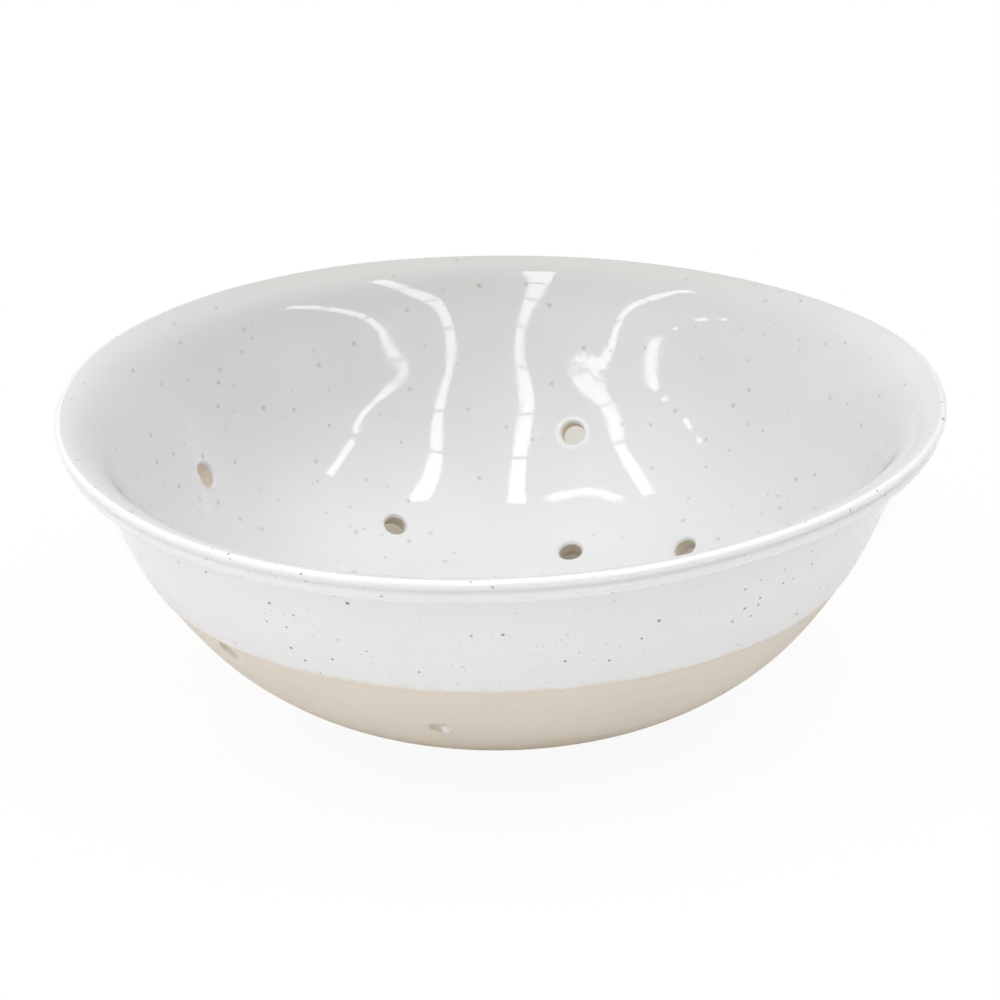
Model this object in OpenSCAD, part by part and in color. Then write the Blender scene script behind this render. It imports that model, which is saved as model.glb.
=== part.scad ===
// Berry colander bowl: a fired stoneware shell with drain holes through its wall and floor.
// A white glaze lines the inside, meets the outside glaze on top of the rim and ends in a line
// part of the way down the wall. Below that line, and on the foot ring, the clay is bare.
// The origin is on the table under the middle of the bowl, with +Z up. Sizes are in millimetres.

/* [Bowl] */
// Diameter over the glazed rim
rim_d = 250; // [220:1:280]
// Height from the table to the top of the glazed rim
bowl_h = 90; // [80:1:105]
// Thickness of the clay in the wall and the floor
wall_t = 5; // [3.5:0.1:6.5]

/* [Wall curve] */
// How far the clay wall stands in from the rim's edge, just under the lip
neck_inset = 9.9; // [8:0.1:14]
// Depth of that place under the top of the rim
neck_depth = 10.3; // [9.5:0.1:14]
// Lean of the wall from upright just under the lip, in degrees
neck_lean = 15.9; // [8:0.1:24]
// Length over which the wall keeps that lean as it leaves the neck
neck_pull = 60; // [45:1:70]
// Length over which the wall flattens out as it reaches the foot
base_pull = 20; // [10:1:30]

/* [Rim] */
// Radius of the two clay beads that run round the rim
bead_r = 1.5; // [1.1:0.1:2]
// Drop from the upper bead to the lower one
bead_drop = 3.9; // [3:0.1:5]
// How far the lower bead stands in from the upper one
bead_inset = 2; // [1:0.1:3]
// Radius of the hollow between the beads
groove_r = 2; // [1.5:0.1:3]
// Angle on the upper bead where the inside of the lip runs into it, in degrees
lip_angle = 98; // [94:1:120]
// Angle on the lower bead where its underside turns back to the wall, in degrees
tuck_angle = -80; // [-100:1:-60]
// Depth under the top of the rim where the inside of the wall starts to flare
lip_depth = 33; // [24:0.5:38]
// Length over which the wall keeps its lean as it starts to flare
flare_pull = 19; // [12:0.5:22]
// Length over which the flare rolls over on to the top of the rim
lip_pull = 9; // [6:0.5:10]
// Length over which the underside of the lip turns into the wall
tuck_pull = 2.4; // [1:0.1:3.5]

/* [Foot ring] */
// Outer diameter of the foot ring
foot_d = 86; // [70:1:100]
// Width of the ring, from outside to inside
foot_w = 6; // [4:0.5:10]
// Height of the ring, from the table to the underside of the floor
foot_h = 6; // [4:0.5:9]
// Fillet between the foot ring and the belly
foot_fillet = 2; // [1:0.5:3]
// Rounding of the edges that stand on the table
tread_round = 1; // [0.5:0.1:1.5]

/* [Glaze] */
// Thickness of the fired glaze
glaze_t = 0.5; // [0.3:0.1:0.8]
// Height above the table where the outside glaze ends
glaze_line_h = 47.7; // [30:0.1:65]

/* [Drain holes] */
// Bore of every drain hole
hole_d = 7.6; // [5:0.1:10]
// Number of holes in the floor, inside the foot ring
floor_holes = 3; // [1:1:5]
// Radius of the ring that the floor holes lie on
floor_ring_r = 24; // [16:1:28]
// Turn of the floor holes about the axis, in degrees
floor_turn = 30; // [0:5:120]

/* [Hidden] */
$fn = 144;

// Wall holes, punched by hand: azimuth in degrees, rise above the underside of the floor
wall_holes = [
    [75.5, 32], [156.5, 41], [222.7, 38.6], [352, 38],
    [38.5, 9.6], [69.6, 3.3], [117.7, 10.7], [190, 14], [258.5, 24.2], [314.6, 19],
];
// Overrun of a drill past the surfaces that it cuts
drill_over = 2;

// Steps along each stretch of wall and each blend, and the largest turn in one step of an arc
wall_steps = 24;
blend_steps = 8;
arc_step = 15;

rim_r = rim_d / 2;
foot_r = foot_d / 2;
floor_top = foot_h + wall_t;
upper_bead = [rim_r - glaze_t - bead_r, bowl_h - glaze_t - bead_r];
lower_bead = upper_bead - [bead_inset, bead_drop];
neck = [rim_r - neck_inset, bowl_h - neck_depth];
base = [foot_r + foot_fillet, foot_h];
neck_dir = [-sin(neck_lean), -cos(neck_lean)];
wall_curve = [neck, neck + neck_pull * neck_dir, base + [base_pull, 0], base];

// The hollow between the beads is an arc that touches both of them
bead_gap = norm(lower_bead - upper_bead);
bead_dir = (lower_bead - upper_bead) / bead_gap;
groove_off = sqrt(pow(bead_r + groove_r, 2) - pow(bead_gap / 2, 2));
groove = (upper_bead + lower_bead) / 2 + groove_off * [-bead_dir.y, bead_dir.x];
upper_leave = direction_angle(groove - upper_bead);
lower_join = direction_angle(groove - lower_bead);

// Angle of a direction, in degrees from +X
function direction_angle(d) = atan2(d.y, d.x);

// Unit direction a quarter turn to the left of d
function left_of(d) = [-d.y, d.x] / norm(d);

// Point, and direction of travel, at share t of a cubic curve with control points c
function curve_point(c, t) =
    let (s = 1 - t)
    s * s * s * c[0] + 3 * s * s * t * c[1] + 3 * s * t * t * c[2] + t * t * t * c[3];
function curve_travel(c, t) =
    let (s = 1 - t)
    s * s * (c[1] - c[0]) + 2 * s * t * (c[2] - c[1]) + t * t * (c[3] - c[2]);

// A surface line is a list of places, each a point and the unit direction out of the clay there

// Surface line on a cubic curve from share t0 to share t1, with the clay on its right
function curve_line(c, steps, t0 = 0, t1 = 1) =
    [for (i = [0 : steps])
        let (t = t0 + (t1 - t0) * i / steps)
        [curve_point(c, t), left_of(curve_travel(c, t))]];

// Surface line on an arc about centre c: side is 1 on a bead of clay and -1 in a hollow
function arc_line(c, r, a0, a1, side = 1) =
    let (steps = max(2, ceil(abs(a1 - a0) / arc_step)))
    [for (i = [0 : steps])
        let (a = a0 + (a1 - a0) * i / steps)
        [c + r * [cos(a), sin(a)], side * [cos(a), sin(a)]]];

function reversed(line) = [for (i = [len(line) - 1 : -1 : 0]) line[i]];
function part_of(line, from, to) = [for (i = [from : to]) line[i]];
function without_first(line) = part_of(line, 1, len(line) - 1);

// Points of a surface line, lifted off the clay by t
function lifted(line, t = 0) = [for (place = line) place[0] + t * place[1]];

// The other face of a sheet of clay of thickness t under a surface line
function other_face(line, t) = [for (place = reversed(line)) [place[0] - t * place[1], -place[1]]];

// Share of the wall curve that lies at height h, by halving
function share_at(h, low = 0, high = 1, rounds = 30) =
    let (mid = (low + high) / 2)
    rounds == 0 ? mid
    : curve_point(wall_curve, mid).y > h ? share_at(h, mid, high, rounds - 1)
    : share_at(h, low, mid, rounds - 1);

// Outside of the wall from the neck down, with a place on the glaze line
glaze_share = share_at(glaze_line_h);
glazed_wall = curve_line(wall_curve, wall_steps, 0, glaze_share);
bare_wall = curve_line(wall_curve, wall_steps, glaze_share, 1);
wall_line = concat(glazed_wall, without_first(bare_wall));

// Inside of the wall, as far up as the place where the lip starts to flare
flare_share = share_at(bowl_h - lip_depth);
flare_dir = curve_travel(wall_curve, flare_share) / norm(curve_travel(wall_curve, flare_share));
inner_wall = other_face(curve_line(wall_curve, 2 * wall_steps, flare_share, 1), wall_t);

// Inside of the clay, from the axis along the floor, up the wall and over the lip to the crest
flare_start = inner_wall[len(inner_wall) - 1][0];
lip_end = upper_bead + bead_r * [cos(lip_angle), sin(lip_angle)];
lip_dir = [sin(lip_angle), -cos(lip_angle)];
lip_curve = [flare_start, flare_start - flare_pull * flare_dir, lip_end - lip_pull * lip_dir, lip_end];
inside_line = concat(
    [[[0, floor_top], [0, 1]]],
    inner_wall,
    without_first(curve_line(lip_curve, wall_steps)),
    without_first(arc_line(upper_bead, bead_r, lip_angle, 90))
);

// Outside of the clay, from the crest over both beads and under the lip to the wall
tuck_start = lower_bead + bead_r * [cos(tuck_angle), sin(tuck_angle)];
tuck_dir = [sin(tuck_angle), -cos(tuck_angle)];
tuck_curve = [tuck_start, tuck_start + tuck_pull * tuck_dir, neck - tuck_pull * neck_dir, neck];
rim_line = concat(
    arc_line(upper_bead, bead_r, 90, upper_leave),
    without_first(arc_line(groove, groove_r, upper_leave + 180, lower_join + 180, -1)),
    without_first(arc_line(lower_bead, bead_r, lower_join, tuck_angle)),
    without_first(curve_line(tuck_curve, blend_steps))
);

// Foot ring, from the belly down round the tread to the underside of the floor
foot_line = concat(
    without_first(arc_line([foot_r + foot_fillet, foot_h - foot_fillet], foot_fillet, 90, 180, -1)),
    arc_line([foot_r - tread_round, tread_round], tread_round, 0, -90),
    arc_line([foot_r - foot_w + tread_round, tread_round], tread_round, -90, -180),
    [[[foot_r - foot_w, foot_h], [0, -1]], [[0, foot_h], [0, -1]]]
);

// The surface of the clay from the middle of the floor, over the rim and down to the foot ring
clay_line = concat(inside_line, without_first(rim_line), without_first(wall_line));
crest_at = len(inside_line) - 1;
line_end_at = crest_at + len(rim_line) - 1 + wall_steps;

// Section of the glaze between two places on the clay
function coat_section(from, to) =
    let (coated = part_of(clay_line, from, to))
    concat(lifted(coated), reversed(lifted(coated, glaze_t)));

// One drill through the wall, square to it
module wall_drill(azimuth, rise) {
    share = share_at(foot_h + rise);
    place = curve_point(wall_curve, share);
    square_to = left_of(curve_travel(wall_curve, share));
    drill_h = wall_t + 2 * glaze_t + 2 * drill_over;
    rotate([0, 0, azimuth])
        translate([place.x, 0, place.y])
            rotate([0, 90 - direction_angle(square_to), 0])
                translate([0, 0, glaze_t + drill_over - drill_h])
                    cylinder(h = drill_h, d = hole_d);
}

// One upright drill through the floor
module floor_drill(azimuth) {
    rotate([0, 0, azimuth])
        translate([floor_ring_r, 0, foot_h - drill_over])
            cylinder(h = wall_t + glaze_t + 2 * drill_over, d = hole_d);
}

// Every drain hole
module drills() {
    for (hole = wall_holes)
        wall_drill(hole[0], hole[1]);
    for (i = [0 : floor_holes - 1])
        floor_drill(floor_turn + i * 360 / floor_holes);
}

// Section turned about the bowl's axis, with the drain holes cut through it
module drained(section) {
    difference() {
        rotate_extrude() polygon(section);
        drills();
    }
}

// Stoneware shell with its rim, floor and foot ring
module clay_body() {
    color("#d3c6b3")
        drained(lifted(concat(clay_line, foot_line)));
}

// Glaze over the floor, the inside of the wall and the inside of the lip
module inside_glaze() {
    color("#f1f0ec")
        drained(coat_section(0, crest_at));
}

// Glaze over the outside of the rim and the wall, down to the glaze line
module outside_glaze() {
    color("#f4f3ef")
        drained(coat_section(crest_at, line_end_at));
}

clay_body();
inside_glaze();
outside_glaze();
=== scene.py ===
"""Looks of a berry colander bowl: a stoneware shell, the glaze inside it and the glaze round its rim.

Sizes are in metres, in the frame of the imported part: the origin lies on the table under the middle of
the bowl, +Z is up and -Y is the side towards the camera.
"""
import logging
import math
from dataclasses import dataclass, replace
from enum import Enum
from typing import Sequence

import bmesh
import bpy
from mathutils import Matrix, Vector, noise
from mathutils.bvhtree import BVHTree


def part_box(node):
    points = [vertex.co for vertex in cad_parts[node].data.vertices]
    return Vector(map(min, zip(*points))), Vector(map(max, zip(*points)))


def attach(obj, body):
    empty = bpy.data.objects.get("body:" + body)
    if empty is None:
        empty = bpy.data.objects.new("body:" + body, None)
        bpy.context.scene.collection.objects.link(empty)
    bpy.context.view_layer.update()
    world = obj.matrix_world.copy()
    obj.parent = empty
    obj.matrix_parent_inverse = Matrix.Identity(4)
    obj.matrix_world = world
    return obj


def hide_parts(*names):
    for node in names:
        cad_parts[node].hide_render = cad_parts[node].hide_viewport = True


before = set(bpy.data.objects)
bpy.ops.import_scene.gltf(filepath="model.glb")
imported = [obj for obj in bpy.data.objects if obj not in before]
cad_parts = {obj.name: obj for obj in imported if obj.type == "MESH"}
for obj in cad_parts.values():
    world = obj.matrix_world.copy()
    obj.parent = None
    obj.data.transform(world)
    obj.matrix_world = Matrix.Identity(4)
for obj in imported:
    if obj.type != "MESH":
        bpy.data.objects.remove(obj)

MM = 0.001
MERGE_WITHIN = 0.001 * MM
HALVINGS = 40
QUAD_CORNERS = 4
BODY = "root"
# Mesh attribute that marks where shade is painted inside the drain holes
BORE_SHADE_MARK = "bore"
# Mesh attribute of the one roll that is lighter: thicker glaze and painted highlight
ROLL_HIGHLIGHT_MARK = "roll"
LOG = logging.getLogger("bowl")
UP = Vector((0, 0, 1))
NONE_TO_ALL = (0.0, 1.0)

# Most of a noise lies between these values, about this middle
NOISE_SPAN = (0.3, 0.7)
NOISE_MIDDLE = (0.5, 0.5, 0.5)

# Sockets of a mix node for its two colours, and for the mixed one
MIX_INPUTS = (6, 7)
MIX_OUTPUT = 2

Node = bpy.types.Node
Socket = bpy.types.NodeSocket
Colour = tuple[float, float, float]


@dataclass(frozen=True)
class Place:
    """A place on the surface of the clay, in the plane of the bowl's section.

    Attributes:
        at: Radius and height.
        out: Unit direction out of the clay.
    """

    at: Vector
    out: Vector

    def lifted(self, by: float) -> Vector:
        """Returns the point at a distance above the clay."""
        return self.at + by * self.out

    def other_face(self, thickness: float) -> "Place":
        """Returns the place straight through a wall of that thickness."""
        return Place(self.at - thickness * self.out, -self.out)


@dataclass(frozen=True)
class Cubic:
    """A cubic curve in the plane of the section, with the clay on its right.

    Attributes:
        start: First point.
        pull_start: Control point that sets the direction at the start.
        pull_end: Control point that sets the direction at the end.
        end: Last point.
    """

    start: Vector
    pull_start: Vector
    pull_end: Vector
    end: Vector

    def place(self, t: float) -> Place:
        """Finds a place on the curve.

        Args:
            t: Share of the curve, from its start.

        Returns:
            The place at that share.
        """
        s = 1 - t
        at = s * s * s * self.start + 3 * s * s * t * self.pull_start
        at += 3 * s * t * t * self.pull_end + t * t * t * self.end
        travel = s * s * (self.pull_start - self.start) + 2 * s * t * (self.pull_end - self.pull_start)
        travel += t * t * (self.end - self.pull_end)
        return Place(at, Vector((-travel.y, travel.x)).normalized())

    def line(self, steps: int, low: float = 0.0, high: float = 1.0) -> list[Place]:
        """Returns places in even steps from share low to share high."""
        return [self.place(low + (high - low) * i / steps) for i in range(steps + 1)]

    def share_at_height(self, height: float) -> float:
        """Finds where a curve that runs downwards reaches a height, by halving.

        Args:
            height: Height that the curve passes.

        Returns:
            Share of the curve at that height.
        """
        low, high = 0.0, 1.0
        for _ in range(HALVINGS):
            middle = (low + high) / 2
            if self.place(middle).at.y > height:
                low = middle
            else:
                high = middle
        return (low + high) / 2


@dataclass(frozen=True)
class Arc:
    """A round stretch of the section: a bead of clay, or a hollow in it.

    Attributes:
        centre: Centre of the arc.
        radius: Radius of the arc.
        hollow: Whether the clay lies outside the arc.
    """

    centre: Vector
    radius: float
    hollow: bool = False

    def place(self, degrees: float) -> Place:
        """Returns the place at an angle from the outward radius."""
        spoke = Vector((math.cos(math.radians(degrees)), math.sin(math.radians(degrees))))
        return Place(self.centre + self.radius * spoke, -spoke if self.hollow else spoke)

    def line(self, start: float, end: float, step: float) -> list[Place]:
        """Returns places from one angle to another, at most step degrees apart."""
        count = max(2, math.ceil(abs(end - start) / step))
        return [self.place(start + (end - start) * i / count) for i in range(count + 1)]


@dataclass(frozen=True)
class SectionSteps:
    """How finely the lines of the section are divided.

    Attributes:
        crest: Degrees in a step from the inside of the lip to the crest.
        crown: Degrees in a step on the crown and on the lower bead.
        bead: Degrees in a step on the upper bead.
        groove: Degrees in a step in the groove.
        foot: Degrees in a step on the foot ring.
        tuck: Number of steps under the lip.
        glazed_wall: Number of steps from the neck to the glaze line.
        bare_wall: Number of steps from the glaze line to the foot.
        lip_stretch: Length of the flare inside the lip, as a multiple of its depth.
    """

    crest: float = 4.0
    crown: float = 6.0
    bead: float = 12.0
    groove: float = 10.0
    foot: float = 15.0
    tuck: int = 10
    glazed_wall: int = 17
    bare_wall: int = 32
    lip_stretch: float = 1.4


@dataclass(frozen=True)
class BowlSection:
    """Driving sizes of the bowl's section, and the surface lines worked out from them.

    Attributes:
        rim_radius: Radius over the glazed rim.
        height: Height of the glazed rim above the table.
        wall: Thickness of the clay in the wall and the floor.
        glaze: Thickness of the fired glaze.
        neck_inset: How far the clay wall stands in from the rim's edge, just under the lip.
        neck_depth: Depth of that place under the top of the rim.
        neck_lean: Lean of the wall from upright there, in degrees.
        neck_pull: Length over which the wall keeps that lean.
        base_pull: Length over which the wall flattens out as it reaches the foot.
        crown_radius: Radius of the top of the rim.
        crown_turn: Angle at which the top runs into the upper bead, in degrees.
        bead_radius: Radius of the upper bead.
        under_bead_radius: Radius of the lower bead.
        bead_drop: Drop from the upper bead to the lower one.
        bead_inset: How far the lower bead stands in from the upper one.
        groove_radius: Radius of the hollow between the beads.
        lip_angle: Angle on the crown where the inside of the lip runs into it, in degrees.
        lip_depth: Depth under the top of the rim where the inside of the wall starts to flare.
        flare_pull: Length over which the wall keeps its lean as it starts to flare.
        lip_pull: Length over which the flare rolls over on to the top of the rim.
        tuck_angle: Angle on the lower bead where its underside turns back to the wall, in degrees.
        tuck_pull: Length over which the underside of the lip turns into the wall.
        foot_radius: Outer radius of the foot ring.
        foot_width: Width of the ring.
        foot_height: Height of the ring, from the table to the underside of the floor.
        foot_fillet: Fillet between the foot ring and the belly.
        tread_round: Rounding of the ring's other edges.
        glaze_line: Height above the table where the outside glaze ends.
        steps: How finely the lines are divided.
    """

    rim_radius: float
    height: float
    wall: float = 5 * MM
    glaze: float = 0.5 * MM
    neck_inset: float = 9.9 * MM
    neck_depth: float = 10.3 * MM
    neck_lean: float = 15.9
    neck_pull: float = 60 * MM
    base_pull: float = 20 * MM
    crown_radius: float = 1.5 * MM
    crown_turn: float = 50.0
    bead_radius: float = 0.4 * MM
    under_bead_radius: float = 2.1 * MM
    bead_drop: float = 3.1 * MM
    bead_inset: float = 2.7 * MM
    groove_radius: float = 1.3 * MM
    lip_angle: float = 98.0
    lip_depth: float = 33 * MM
    flare_pull: float = 19 * MM
    lip_pull: float = 9 * MM
    tuck_angle: float = -80.0
    tuck_pull: float = 2.4 * MM
    foot_radius: float = 43 * MM
    foot_width: float = 6 * MM
    foot_height: float = 6 * MM
    foot_fillet: float = 2 * MM
    tread_round: float = 1 * MM
    glaze_line: float = 47.7 * MM
    steps: SectionSteps = SectionSteps()

    @property
    def floor_top(self) -> float:
        """Height of the clay floor inside the bowl."""
        return self.foot_height + self.wall

    @property
    def upper_bead(self) -> Vector:
        """Centre of the bead on the edge of the rim.

        Returns:
            Its radius and height.
        """
        step = (self.crown_radius - self.bead_radius) * math.sin(math.radians(self.crown_turn))
        radius = self.rim_radius - self.glaze - self.bead_radius
        return Vector((radius, self.height - self.glaze - self.crown_radius + step))

    @property
    def crown(self) -> Arc:
        """Wider arc on top of the rim, which runs into that bead.

        Returns:
            The arc, in the plane of the section.
        """
        turn = math.radians(self.crown_turn)
        spoke = Vector((math.cos(turn), math.sin(turn)))
        return Arc(self.upper_bead - (self.crown_radius - self.bead_radius) * spoke, self.crown_radius)

    @property
    def lower_bead(self) -> Vector:
        """Centre of the bead under the edge of the rim."""
        return self.upper_bead - Vector((self.bead_inset, self.bead_drop))

    @property
    def neck(self) -> Vector:
        """Point of the outer wall just under the lip."""
        return Vector((self.rim_radius - self.neck_inset, self.height - self.neck_depth))

    @property
    def neck_down(self) -> Vector:
        """Direction of the outer wall as it leaves the neck."""
        lean = math.radians(self.neck_lean)
        return Vector((-math.sin(lean), -math.cos(lean)))

    @property
    def wall_curve(self) -> Cubic:
        """Outside of the clay wall.

        Returns:
            The curve from the neck down to the foot.
        """
        base = Vector((self.foot_radius + self.foot_fillet, self.foot_height))
        pull_end = base + Vector((self.base_pull, 0))
        return Cubic(self.neck, self.neck + self.neck_pull * self.neck_down, pull_end, base)

    def inside_line(self, row: float) -> list[Place]:
        """Finds the inside of the clay.

        Args:
            row: Distance between places.

        Returns:
            Places from the axis along the floor and up the wall to the crest of the rim.
        """
        curve = self.wall_curve
        flare_share = curve.share_at_height(self.height - self.lip_depth)
        wall_rows = round((self.height - self.floor_top) / row)
        outer = curve.line(wall_rows, 1.0, flare_share)
        wall = [place.other_face(self.wall) for place in outer]
        edge = wall[0].at.x
        floor_rows = round(edge / row)
        up = Vector((0, 1))
        floor = [Place(Vector((edge * i / floor_rows, self.floor_top)), up) for i in range(floor_rows)]
        flare_up = Vector((wall[-1].out.y, -wall[-1].out.x))
        lip_end = self.crown.place(self.lip_angle)
        over = Vector((lip_end.out.y, -lip_end.out.x))
        lip_pulls = wall[-1].at + self.flare_pull * flare_up, lip_end.at - self.lip_pull * over
        lip_curve = Cubic(wall[-1].at, *lip_pulls, lip_end.at)
        lip_rows = round(self.steps.lip_stretch * self.lip_depth / row)
        crest = self.crown.line(self.lip_angle, 90, self.steps.crest)
        return floor + wall + lip_curve.line(lip_rows)[1:] + crest[1:]

    def rim_line(self) -> list[Place]:
        """Finds the outside of the rim.

        Returns:
            Places from the crest over both beads and under the lip to the neck.
        """
        across = self.lower_bead - self.upper_bead
        gap, down = across.length, across.normalized()
        from_upper = self.bead_radius + self.groove_radius
        from_lower = self.under_bead_radius + self.groove_radius
        along = (gap**2 + from_upper**2 - from_lower**2) / (2 * gap)
        away = math.sqrt(from_upper**2 - along**2)
        groove_at = self.upper_bead + along * down + away * Vector((-down.y, down.x))
        groove = Arc(groove_at, self.groove_radius, hollow=True)
        leave = direction_angle(groove.centre - self.upper_bead)
        join = direction_angle(groove.centre - self.lower_bead)
        under = Arc(self.lower_bead, self.under_bead_radius)
        tuck = under.place(self.tuck_angle)
        inward = Vector((tuck.out.y, -tuck.out.x))
        tuck_pulls = tuck.at + self.tuck_pull * inward, self.neck - self.tuck_pull * self.neck_down
        tuck_curve = Cubic(tuck.at, *tuck_pulls, self.neck)
        line = self.crown.line(90, self.crown_turn, self.steps.crown)
        line += Arc(self.upper_bead, self.bead_radius).line(self.crown_turn, leave, self.steps.bead)[1:]
        line += groove.line(leave + 180, join + 180, self.steps.groove)[1:]
        line += under.line(join, self.tuck_angle, self.steps.crown)[1:]
        return line + tuck_curve.line(self.steps.tuck)[1:]

    def glazed_wall_line(self) -> list[Place]:
        """Outside of the wall from the neck down to the glaze line."""
        share = self.wall_curve.share_at_height(self.glaze_line)
        return self.wall_curve.line(self.steps.glazed_wall, 0.0, share)

    def bare_wall_line(self) -> list[Place]:
        """Outside of the wall from the glaze line down to the foot."""
        share = self.wall_curve.share_at_height(self.glaze_line)
        return self.wall_curve.line(self.steps.bare_wall, share, 1.0)

    def foot_line(self) -> list[Place]:
        """Finds the foot ring.

        Returns:
            Places from the belly round the tread to the middle of the floor's underside.
        """
        edge, step = self.tread_round, self.steps.foot
        inner_radius = self.foot_radius - self.foot_width
        fillet_at = Vector((self.foot_radius + self.foot_fillet, self.foot_height - self.foot_fillet))
        corner_at = Vector((inner_radius - edge, self.foot_height - edge))
        line = Arc(fillet_at, self.foot_fillet, hollow=True).line(90, 180, step)
        line += Arc(Vector((self.foot_radius - edge, edge)), edge).line(0, -90, step)
        line += Arc(Vector((inner_radius + edge, edge)), edge).line(-90, -180, step)
        line += Arc(corner_at, edge, hollow=True).line(0, 90, step)
        return line + [Place(Vector((0, self.foot_height)), Vector((0, -1)))]


def direction_angle(direction: Vector) -> float:
    """Returns the angle of a direction in the section, in degrees from the outward radius."""
    return math.degrees(math.atan2(direction.y, direction.x))


class Seat(Enum):
    """Where a drain hole is punched."""

    WALL = "wall"
    FLOOR = "floor"


@dataclass(frozen=True)
class DrainHole:
    """One drain hole, punched square to the clay.

    Attributes:
        seat: Whether the hole goes through the wall or the floor.
        azimuth: Angle about the bowl's axis, in degrees.
        reach: Rise above the floor's underside on the wall, or radius on the floor.
        mouth: Radius that the glaze leaves open on the inside.
        outlet: Radius of the hole on the outside.
    """

    seat: Seat
    azimuth: float
    reach: float
    mouth: float
    outlet: float

    def outer_place(self, section: BowlSection) -> Place:
        """Finds where the hole's axis leaves the clay.

        Args:
            section: The bowl's section.

        Returns:
            The place on the outside of the clay, in the plane of the section.
        """
        if self.seat is Seat.FLOOR:
            return Place(Vector((self.reach, section.foot_height)), Vector((0, -1)))
        curve = section.wall_curve
        return curve.place(curve.share_at_height(section.foot_height + self.reach))

    def frame_at(self, section: BowlSection, depth: float) -> Matrix:
        """Finds a frame on the hole's axis.

        Args:
            section: The bowl's section.
            depth: Distance from the outside of the clay, towards the inside of the bowl.

        Returns:
            Matrix whose X axis runs round the bowl, Y along the section and Z along the hole, towards the
            inside of the bowl.
        """
        place = self.outer_place(section)
        at, out = place.lifted(-depth), place.out
        turn = Matrix.Rotation(math.radians(self.azimuth), 4, "Z")
        centre = Vector((at.x, 0, at.y))
        along = Vector((-out.x, 0, -out.y))
        across = Vector((0, 1, 0))
        up = along.cross(across)
        local = Matrix((across, up, along)).transposed().to_4x4()
        return turn @ Matrix.Translation(centre) @ local


@dataclass(frozen=True)
class HolePattern:
    """The drain holes and the shape of their mouths.

    Attributes:
        radius: Radius of every bore, just under the glaze.
        wall_holes: Azimuth, rise, glazed radius and outside radius of each hole in the wall.
        highlit_roll: Number of the wall hole whose inside roll is lighter: whiter, thicker glaze and painted
            highlight.
        drip: Number of the wall hole with a drop of glaze in its outside mouth.
        floor_count: Number of holes in the floor.
        floor_radius: Radius of the ring that the floor holes lie on.
        floor_turn: Azimuth of the first floor hole, in degrees.
        floor_mouth: Glazed radius of the floor holes.
        roll_width: Width of the glazed roll round an inside mouth.
        roll_depth: Depth of that roll.
        roll_bead: How far the roll stands up before it turns into the hole.
        roll_steps: Number of steps in the turn of the roll.
        edge_round: Rounding of the bare clay round an outside mouth.
    """

    radius: float = 3.8 * MM
    wall_holes: tuple[tuple[float, float, float, float], ...] = (
        (75.5, 32 * MM, 3.75 * MM, 3.5 * MM), (156.5, 41 * MM, 3.6 * MM, 3.8 * MM),
        (222.7, 38.6 * MM, 3.5 * MM, 3.3 * MM), (352, 38 * MM, 3.5 * MM, 3.8 * MM),
        (38.5, 9.6 * MM, 3.3 * MM, 3.8 * MM), (69.6, 3.3 * MM, 3.5 * MM, 3.8 * MM),
        (117.7, 10.7 * MM, 3.3 * MM, 3.8 * MM), (190, 14 * MM, 3.5 * MM, 3.8 * MM),
        (258.8, 24.2 * MM, 3.5 * MM, 3.0 * MM), (313.9, 19 * MM, 3.5 * MM, 2.7 * MM),
    )
    highlit_roll: int = 0
    drip: int = 8
    floor_count: int = 3
    floor_radius: float = 24 * MM
    floor_turn: float = 30.0
    floor_mouth: float = 3.5 * MM
    roll_width: float = 1.5 * MM
    roll_depth: float = 0.9 * MM
    roll_bead: float = 0.25 * MM
    roll_steps: int = 9
    edge_round: float = 0.4 * MM

    def roll(self, mouth: float, collar: float) -> list[tuple[float, float]]:
        """Finds the rings of the glazed roll round an inside mouth.

        Args:
            mouth: Radius that the glaze leaves open.
            collar: Radius of the ring that starts on the open face of the coat.

        Returns:
            Radius and depth of each ring, from the collar into the hole.
        """
        rings = [(collar, 0.0)]
        for i in range(self.roll_steps + 1):
            turn = math.radians(90 * i / self.roll_steps)
            # The bead ends two thirds of the way through the turn
            rise = self.roll_bead * math.sin(min(math.pi, 3 * turn)) ** 2
            radius = mouth + self.roll_width * (1 - math.sin(turn))
            rings.append((radius, self.roll_depth * (1 - math.cos(turn)) - rise))
        return rings

    def holes(self) -> list[DrainHole]:
        """Lists the drain holes.

        Returns:
            Every hole, those in the wall first.
        """
        wall = [DrainHole(Seat.WALL, *place) for place in self.wall_holes]
        turns = [self.floor_turn + 360 * i / self.floor_count for i in range(self.floor_count)]
        floor = self.floor_radius, self.floor_mouth, self.radius
        return wall + [DrainHole(Seat.FLOOR, turn, *floor) for turn in turns]


@dataclass(frozen=True)
class Ripple:
    """One slow ripple that the maker's hands left in the wall.

    Attributes:
        height: How far it stands in or out.
        waves: Number of waves round the bowl.
        climb: How fast it turns with height, in radians per metre.
        phase: Where it starts, in radians.
    """

    height: float
    waves: int
    climb: float
    phase: float

    def swell(self, azimuth: float, height: float) -> float:
        """Returns how far the wall stands out at a place, because of this ripple."""
        return self.height * math.sin(self.waves * azimuth + self.climb * height + self.phase)


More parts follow.
